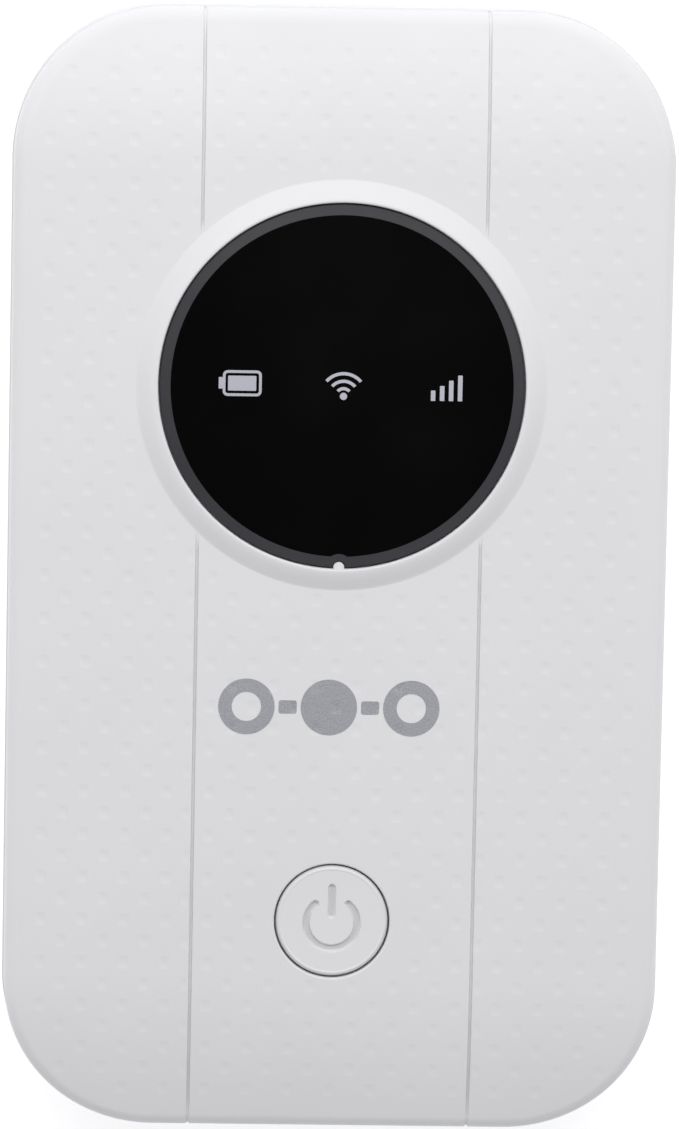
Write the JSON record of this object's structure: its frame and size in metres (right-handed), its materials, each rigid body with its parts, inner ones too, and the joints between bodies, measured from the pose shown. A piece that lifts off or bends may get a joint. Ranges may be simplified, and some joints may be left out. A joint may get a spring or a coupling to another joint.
{
  "type": "mobile hotspot",
  "caption": "Palm-sized battery-powered router: flat white case with large round corners, a round black indicator window in a raised ring and a round power button.",
  "frame": {"origin": "middle of the footprint, on the outer face of the back cover", "axes": "+X across the width, to the right when the display end is up; +Y along the length, towards the display end; +Z out of the display"},
  "size_m": [0.0586, 0.1002, 0.014],
  "materials": {
    "shell_plastic": "satin white moulding with a faint lattice of square dimples",
    "button_plastic": "smooth white moulding",
    "lens_plastic": "polished black window",
    "black_plastic": "plain black moulding",
    "diffuser_film": "translucent grey film",
    "lamp_resin": "clear resin",
    "board_laminate": "green solder mask",
    "chip_resin": "dark moulding compound",
    "plated_steel": "bright plated sheet",
    "gold_contact": "gold flash",
    "gap_pad": "soft grey-blue pad",
    "battery_wrap": "dark film wrap over the cell's can",
    "antenna_film": "amber film on copper",
    "paper_label": "blank matt film",
    "black_foam": "closed-cell foam"
  },
  "bodies": {
    "case": {"front_shell": "shell_plastic", "rear_housing": "shell_plastic", "display_lens": "lens_plastic", "lens_adhesive_ring": "black_foam", "icon_film": "diffuser_film", "light_baffle": "black_plastic", "led_battery": "lamp_resin", "led_wifi": "lamp_resin", "led_signal": "lamp_resin", "power_switch_body": "plated_steel", "main_board": "board_laminate", "modem_shield": "plated_steel", "radio_shield": "plated_steel", "thermal_pad": "gap_pad", "baseband_chip": "chip_resin", "memory_chip": "chip_resin", "transceiver_chip": "chip_resin", "power_management_chip": "chip_resin", "crystal_can": "plated_steel", "charge_inductor": "chip_resin", "usb_socket_shell": "plated_steel", "usb_socket_tongue": "black_plastic", "sim_holder_cage": "plated_steel", "sim_holder_base": "black_plastic", "reset_switch_body": "plated_steel", "battery_connector": "black_plastic", "battery_spring_1": "gold_contact", "battery_spring_2": "gold_contact", "battery_spring_3": "gold_contact", "bay_label": "paper_label", "antenna_main": "antenna_film", "antenna_diversity": "antenna_film", "antenna_wifi": "antenna_film", "antenna_clip_main": "gold_contact", "antenna_clip_diversity": "gold_contact", "antenna_clip_wifi": "gold_contact", "case_screw_1": "plated_steel", "case_screw_2": "plated_steel", "case_screw_3": "plated_steel", "case_screw_4": "plated_steel", "board_screw_1": "plated_steel", "board_screw_2": "plated_steel"},
    "power_button": {"power_button": "button_plastic"},
    "power_switch_plunger": {"power_switch_plunger": "black_plastic"},
    "back_cover": {"back_cover": "shell_plastic", "cover_foam_pad": "black_foam"},
    "battery": {"battery_cell": "battery_wrap", "battery_end_cap": "black_plastic", "battery_terminal_1": "gold_contact", "battery_terminal_2": "gold_contact", "battery_terminal_3": "gold_contact"},
    "sim_card": {"sim_card": "paper_label"},
    "reset_plunger": {"reset_switch_plunger": "black_plastic"}
  },
  "joints": [
    {"name": "case_lift", "type": "slide", "parent": "back_cover", "child": "case", "axis": [0, 0, 1], "range_m": [0, 0.03]},
    {"name": "battery_lift", "type": "slide", "parent": "back_cover", "child": "battery", "axis": [0, 0, 1], "range_m": [0, 0.015]},
    {"name": "power_button_press", "type": "slide", "parent": "case", "child": "power_button", "axis": [0, 0, -1], "range_m": [0, 0.00035], "stiffness_N_per_m": 2500},
    {"name": "power_switch_travel", "type": "slide", "parent": "case", "child": "power_switch_plunger", "axis": [0, 0, -1], "range_m": [0, 0.00028]},
    {"name": "sim_card_slide", "type": "slide", "parent": "case", "child": "sim_card", "axis": [0, -1, 0], "range_m": [0, 0.008]},
    {"name": "reset_press", "type": "slide", "parent": "case", "child": "reset_plunger", "axis": [0, 0, 1], "range_m": [0, 0.00025], "stiffness_N_per_m": 4000}
  ],
  "couplings": [
    {"joint": "power_switch_travel", "follows": "power_button_press", "ratio": 0.8},
    {"joint": "battery_lift", "follows": "case_lift", "ratio": 0.5}
  ]
}
